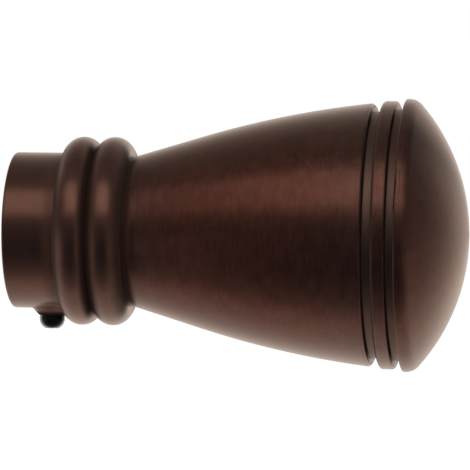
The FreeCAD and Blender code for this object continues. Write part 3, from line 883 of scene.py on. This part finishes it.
def seen_rays(tree):
    """1 for light that goes to the camera, into a mirror or through glass, and 0 for other light."""
    path = tree.nodes.new("ShaderNodeLightPath")
    glossy, through = path.outputs["Is Glossy Ray"], path.outputs["Is Transmission Ray"]
    mirrored = value_node(tree, "MAXIMUM", glossy, through)
    return value_node(tree, "MAXIMUM", path.outputs["Is Camera Ray"], mirrored)


world = bpy.data.worlds.new("studio")
bpy.context.scene.world = world
world.use_nodes = True
tree = world.node_tree
background = tree.nodes["Background"]
background.inputs["Color"].default_value = PAPER_WHITE
fill = tree.nodes.new("ShaderNodeMapRange")
fill.inputs["To Min"].default_value = WORLD_FILL
fill.inputs["To Max"].default_value = 1.0
tree.links.new(seen_rays(tree), fill.inputs["Value"])
tree.links.new(fill.outputs[0], background.inputs["Strength"])
print("the world lights at", WORLD_FILL, "and is seen at 1")

# %% [markdown]
# The floor is pale paper below the finial. Brighter lamps would make it white but would wash out the
# metal. So it glows a little towards the camera instead, melts into the white backdrop and still takes the
# finial's shadow.

# %% The floor
FLOOR_HEIGHT = -0.07
FLOOR_SPAN = (-3.0, 3.0)
FLOOR_COLOUR = (0.85, 0.84, 0.83, 1.0)
FLOOR_ROUGHNESS = 0.9
FLOOR_GLOW = 0.40


def grid_sheet(name, points):
    """An open sheet of quads from a grid of points, shaped (rows, columns, 3), in metres."""
    rows, columns = points.shape[:2]
    number = np.arange(rows * columns).reshape(rows, columns)
    corners = np.stack([number[:-1, :-1], number[:-1, 1:], number[1:, 1:], number[1:, :-1]], axis=-1)
    mesh = bpy.data.meshes.new(name)
    mesh.from_pydata(points.reshape(-1, 3).tolist(), [], corners.reshape(-1, 4).tolist())
    sheet = bpy.data.objects.new(name, mesh)
    bpy.context.scene.collection.objects.link(sheet)
    return sheet


floor_x, floor_y = np.meshgrid(FLOOR_SPAN, FLOOR_SPAN)
floor_z = np.full(floor_x.shape, FLOOR_HEIGHT)
floor = grid_sheet("floor", np.stack([floor_x, floor_y, floor_z], axis=-1))
paper, tree, shader, _ = new_material("paper_floor")
shader.inputs["Base Color"].default_value = FLOOR_COLOUR
shader.inputs["Roughness"].default_value = FLOOR_ROUGHNESS
shader.inputs["Emission Color"].default_value = PAPER_WHITE
glow = value_node(tree, "MULTIPLY", seen_rays(tree), FLOOR_GLOW)
tree.links.new(glow, shader.inputs["Emission Strength"])
floor.data.materials.append(paper)
floor.visible_glossy = False
print("the floor lies at", FLOOR_HEIGHT, "m")

# %% [markdown]
# Cards shape what the metal mirrors. Lamps could light it from every side, but only cards give a highlight
# its soft edges. Each glows in tones that change with its angle or its height. Dark cloth is a little cool
# and light paper a little warm, so a tint follows the tone.

# %% Tools for cards
DARK_CARD_TINT = (1.0, 1.3, 1.9)
LIGHT_CARD_TINT = (1.0, 0.98, 0.96)
LIGHT_CARD_GREY = 0.3


def card_colour(grey):
    """A grey with a tint, which is cool on a dark card and warms until the grey is a light one."""
    warmth = min(grey / LIGHT_CARD_GREY, 1.0)
    tint = np.array(DARK_CARD_TINT) + warmth * (np.array(LIGHT_CARD_TINT) - DARK_CARD_TINT)
    return (*(grey * tint), 1.0)


def paint_card(card, value_of, tones):
    """Gives a card a glow that follows tones, a list of (value, grey), along a value of its coordinates."""
    paint = bpy.data.materials.new(card.name + "_tones")
    paint.use_nodes = True
    tree = paint.node_tree
    tree.nodes.remove(tree.nodes["Principled BSDF"])
    parts = parts_of(tree, tree.nodes.new("ShaderNodeTexCoord").outputs["Object"])
    low, high = tones[0][0], tones[-1][0]
    share = tree.nodes.new("ShaderNodeMapRange")
    share.inputs["From Min"].default_value = low
    share.inputs["From Max"].default_value = high
    tree.links.new(value_of(tree, *parts), share.inputs["Value"])
    ramp = tree.nodes.new("ShaderNodeValToRGB")
    marks = ramp.color_ramp.elements
    for value, _ in tones[1:-1]:
        marks.new((value - low) / (high - low))
    for mark, (_, grey) in zip(marks, tones):
        mark.color = card_colour(grey)
    tree.links.new(share.outputs[0], ramp.inputs["Fac"])
    glow = tree.nodes.new("ShaderNodeEmission")
    tree.links.new(ramp.outputs["Color"], glow.inputs["Color"])
    tree.links.new(glow.outputs[0], tree.nodes["Material Output"].inputs["Surface"])
    card.data.materials.append(paint)


def angle_round_axis(tree, x, y, z):
    """The angle above the camera's side, in degrees: arctan(z / -y)."""
    turn = value_node(tree, "ARCTAN2", z, value_node(tree, "MULTIPLY", y, -1.0))
    return value_node(tree, "DEGREES", turn)


def height_itself(tree, x, y, z):
    """The height, as it is."""
    return z


print("a dark card glows in", [round(float(side), 3) for side in card_colour(0.1)[:3]])

# %% [markdown]
# One card is curved: it stands between the finial and the camera and goes on overhead, dark in front and
# low down, grey above. Flat ones stand upright across the axis: to the side of the dome, behind it and
# over it, and beyond the collar. A flat card reaches from the first height in its tones to the last. Only
# mirrored light sees the cards.

# %% The cards
CARD_RADIUS = 0.40
CARD_ENDS = (-0.42, 0.90)
CARD_STEPS = 60
CARD_TONES = ((-80.0, 0.64), (-62.0, 0.28), (-46.0, 0.12), (-25.0, 0.08), (0.0, 0.15), (16.0, 0.32),
              (70.0, 0.36), (100.0, 0.32), (128.0, 0.42), (150.0, 0.8))
BEYOND_DOME = 0.45
OVER_DOME = 0.20
BEYOND_COLLAR = -0.44
FLAT_CARDS = (
    ("right_card", BEYOND_DOME, (-0.45, 0.28), ((-0.22, 0.78), (-0.05, 0.52), (0.06, 0.24), (0.50, 0.12))),
    ("back_card", BEYOND_DOME, (0.40, 1.30), ((-0.30, 1.2), (0.02, 1.55), (0.22, 0.6), (0.90, 0.5))),
    ("upper_card", OVER_DOME, (-0.14, 0.19), ((0.09, 0.18), (0.45, 0.14))),
    ("left_card", BEYOND_COLLAR, (-0.42, 0.10), ((-0.05, 0.70), (0.05, 0.30), (0.45, 0.25))),
)

card_angle = np.radians(np.linspace(CARD_TONES[0][0], CARD_TONES[-1][0], CARD_STEPS))[:, None]
card_y = -CARD_RADIUS * np.cos(card_angle)
card_z = CARD_RADIUS * np.sin(card_angle)
curved_grid = np.stack(np.broadcast_arrays(np.array([CARD_ENDS]), card_y, card_z), axis=-1)
front_card = grid_sheet("front_card", curved_grid)
paint_card(front_card, angle_round_axis, CARD_TONES)
cards = [front_card]
for name, card_x, span_y, tones in FLAT_CARDS:
    card_y, card_z = np.meshgrid(span_y, (tones[0][0], tones[-1][0]))
    card = grid_sheet(name, np.stack([np.full(card_y.shape, card_x), card_y, card_z], axis=-1))
    paint_card(card, height_itself, tones)
    cards.append(card)
for card in cards:
    card.visible_camera = False
    card.visible_diffuse = False
    card.visible_shadow = False
    card.visible_transmission = False
print("cards:", [card.name for card in cards])

# %% [markdown]
# A soft lamp above the camera, longer than the finial, draws the long highlight along it. A bare bulb
# would draw a hard spot.

# %% The lamp
LAMP_ANGLE = math.radians(41.0)
LAMP_DISTANCE = 0.36
LAMP_SIZE = (0.56, 0.24)
LAMP_SHIFT = 0.085
LAMP_POWER = 0.575

lamp_data = bpy.data.lights.new("softbox", "AREA")
lamp_data.shape = "RECTANGLE"
lamp_data.size, lamp_data.size_y = LAMP_SIZE
lamp_data.energy = LAMP_POWER
lamp = bpy.data.objects.new("softbox", lamp_data)
lamp_way = Vector((0.0, -math.cos(LAMP_ANGLE), math.sin(LAMP_ANGLE)))
lamp.location = Vector((LAMP_SHIFT, 0.0, 0.0)) + LAMP_DISTANCE * lamp_way
lamp.rotation_mode = "QUATERNION"
lamp.rotation_quaternion = lamp_way.to_track_quat("Z", "Y")
bpy.context.scene.collection.objects.link(lamp)
print("the lamp gives", LAMP_POWER, "W")

# %% [markdown]
# The camera stands level with the finial and a little round to its domed end, far off with a long lens,
# as in the photograph. It is rolled by less than a degree.

# %% The camera
CAMERA_TURN = math.radians(7.977)
CAMERA_ROLL = math.radians(0.849)
CAMERA_DISTANCE = 0.69509
CAMERA_AIM = Vector((0.022086, 0.0, -0.000389))
CAMERA_LENS = 281.58
CAMERA_NEAREST = 0.01
SENSOR_WIDTH = 36.0

level_right = Vector((math.cos(CAMERA_TURN), math.sin(CAMERA_TURN), 0.0))
back = Vector((math.sin(CAMERA_TURN), -math.cos(CAMERA_TURN), 0.0))
upright = Vector((0.0, 0.0, 1.0))
right = math.cos(CAMERA_ROLL) * level_right + math.sin(CAMERA_ROLL) * upright
up = math.cos(CAMERA_ROLL) * upright - math.sin(CAMERA_ROLL) * level_right
camera_data = bpy.data.cameras.new("camera")
camera_data.lens = CAMERA_LENS
camera_data.sensor_width = SENSOR_WIDTH
camera_data.clip_start = CAMERA_NEAREST
camera = bpy.data.objects.new("camera", camera_data)
bpy.context.scene.collection.objects.link(camera)
spot = CAMERA_AIM + CAMERA_DISTANCE * back
axes = Matrix((right, up, back)).transposed()
camera.matrix_world = Matrix.Translation(spot) @ axes.to_4x4()
bpy.context.scene.camera = camera
bpy.context.scene.view_settings.view_transform = "Standard"
print("the camera stands at", [round(side, 4) for side in spot])
